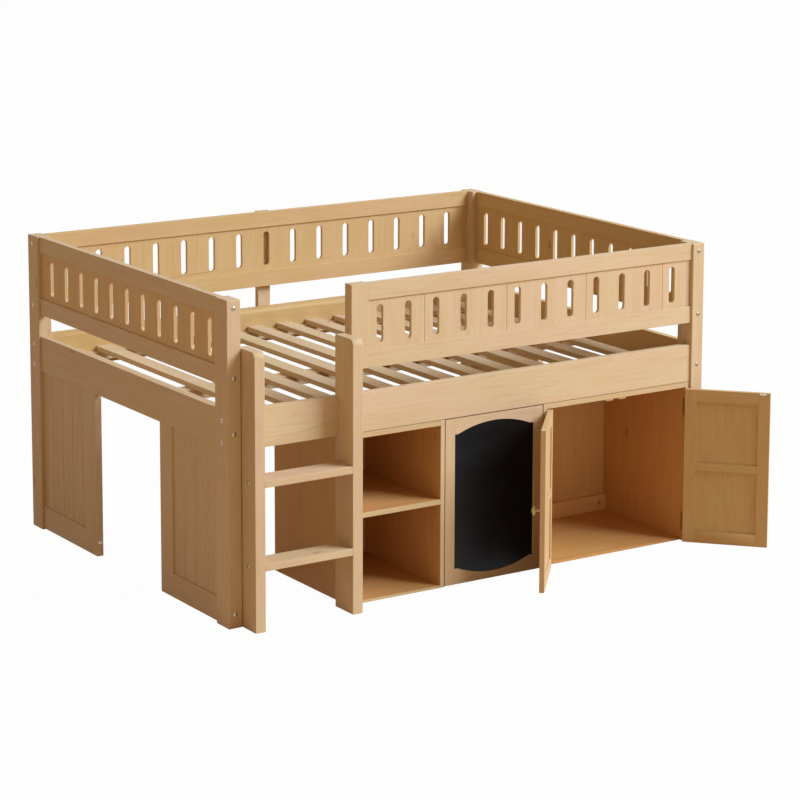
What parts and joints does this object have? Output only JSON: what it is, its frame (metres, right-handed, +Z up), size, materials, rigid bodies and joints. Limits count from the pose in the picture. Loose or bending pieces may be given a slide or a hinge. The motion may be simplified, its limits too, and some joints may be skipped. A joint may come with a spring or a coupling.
{
  "type": "loft bed",
  "caption": "Low pine loft bed: slatted bunk with slotted guard panels over a play space, side ladder, open cubby, chalkboard panel and a cupboard whose doors swing open.",
  "frame": {"origin": "bottom outer corner of the front left post, on the floor", "axes": "+X along the bed from the ladder end to the cupboard end, +Y from the front to the back, +Z up"},
  "size_m": [2.1808, 1.742, 1.123],
  "materials": {
    "pine": "clear satin lacquer on solid pine",
    "cabinet_pine": "clear satin lacquer on jointed pine boards",
    "sawn_pine": "planed bare pine",
    "chalkboard": "matt chalkboard paint on hardboard",
    "knob_wood": "lacquered turned wood",
    "catch_plastic": "moulded",
    "steel": "plated"
  },
  "bodies": {
    "bed_frame": {"front_left_post": "pine", "front_right_post": "pine", "back_left_post": "pine", "back_right_post": "pine", "middle_back_post": "pine", "left_end_top_rail": "pine", "left_end_slotted_panel": "pine", "left_end_low_rail": "pine", "left_end_board": "pine", "left_leg_stiles": "pine", "left_foot_rails": "pine", "left_leg_panels": "pine", "right_end_top_rail": "pine", "right_end_slotted_panel": "pine", "right_end_low_rail": "pine", "right_end_board": "pine", "right_leg_stiles": "pine", "right_foot_rails": "pine", "right_leg_panels": "pine", "front_side_rail": "pine", "guard_stile": "pine", "guard_top_rail": "pine", "guard_slotted_panel": "pine", "guard_low_rail": "pine", "back_side_rail": "pine", "back_top_rail": "pine", "back_slotted_panel": "pine", "back_low_rail": "pine", "deck_supports": "sawn_pine", "centre_beam": "sawn_pine", "slats": "sawn_pine", "ladder_left_upright": "pine", "ladder_right_upright": "pine", "ladder_steps": "pine", "cabinet_left_side": "cabinet_pine", "cabinet_dividers": "cabinet_pine", "cabinet_right_side": "cabinet_pine", "cabinet_tops": "cabinet_pine", "cabinet_floors": "cabinet_pine", "cubby_shelf": "cabinet_pine", "cabinet_backs": "cabinet_pine", "cupboard_batten": "cabinet_pine", "chalkboard_stiles": "pine", "chalkboard_rails": "pine", "chalkboard": "chalkboard", "fixed_hinge_leaves": "steel", "magnetic_catches": "catch_plastic", "bolts": "steel", "threaded_inserts": "steel", "dowels": "sawn_pine"},
    "left_door": {"left_door_stiles": "pine", "left_door_rails": "pine", "left_door_panels": "pine", "left_door_knob": "knob_wood", "left_door_fittings": "steel"},
    "right_door": {"right_door_stiles": "pine", "right_door_rails": "pine", "right_door_panels": "pine", "right_door_knob": "knob_wood", "right_door_fittings": "steel"}
  },
  "joints": [
    {"name": "left_door_hinge", "type": "hinge", "parent": "bed_frame", "child": "left_door", "pos_m": [1.31975, 0.007, 0.293], "axis": [0, 0, -1], "range_deg": [-131, 29]},
    {"name": "right_door_hinge", "type": "hinge", "parent": "bed_frame", "child": "right_door", "pos_m": [1.95025, 0.007, 0.293], "axis": [0, 0, 1], "range_deg": [-133, 17]}
  ]
}
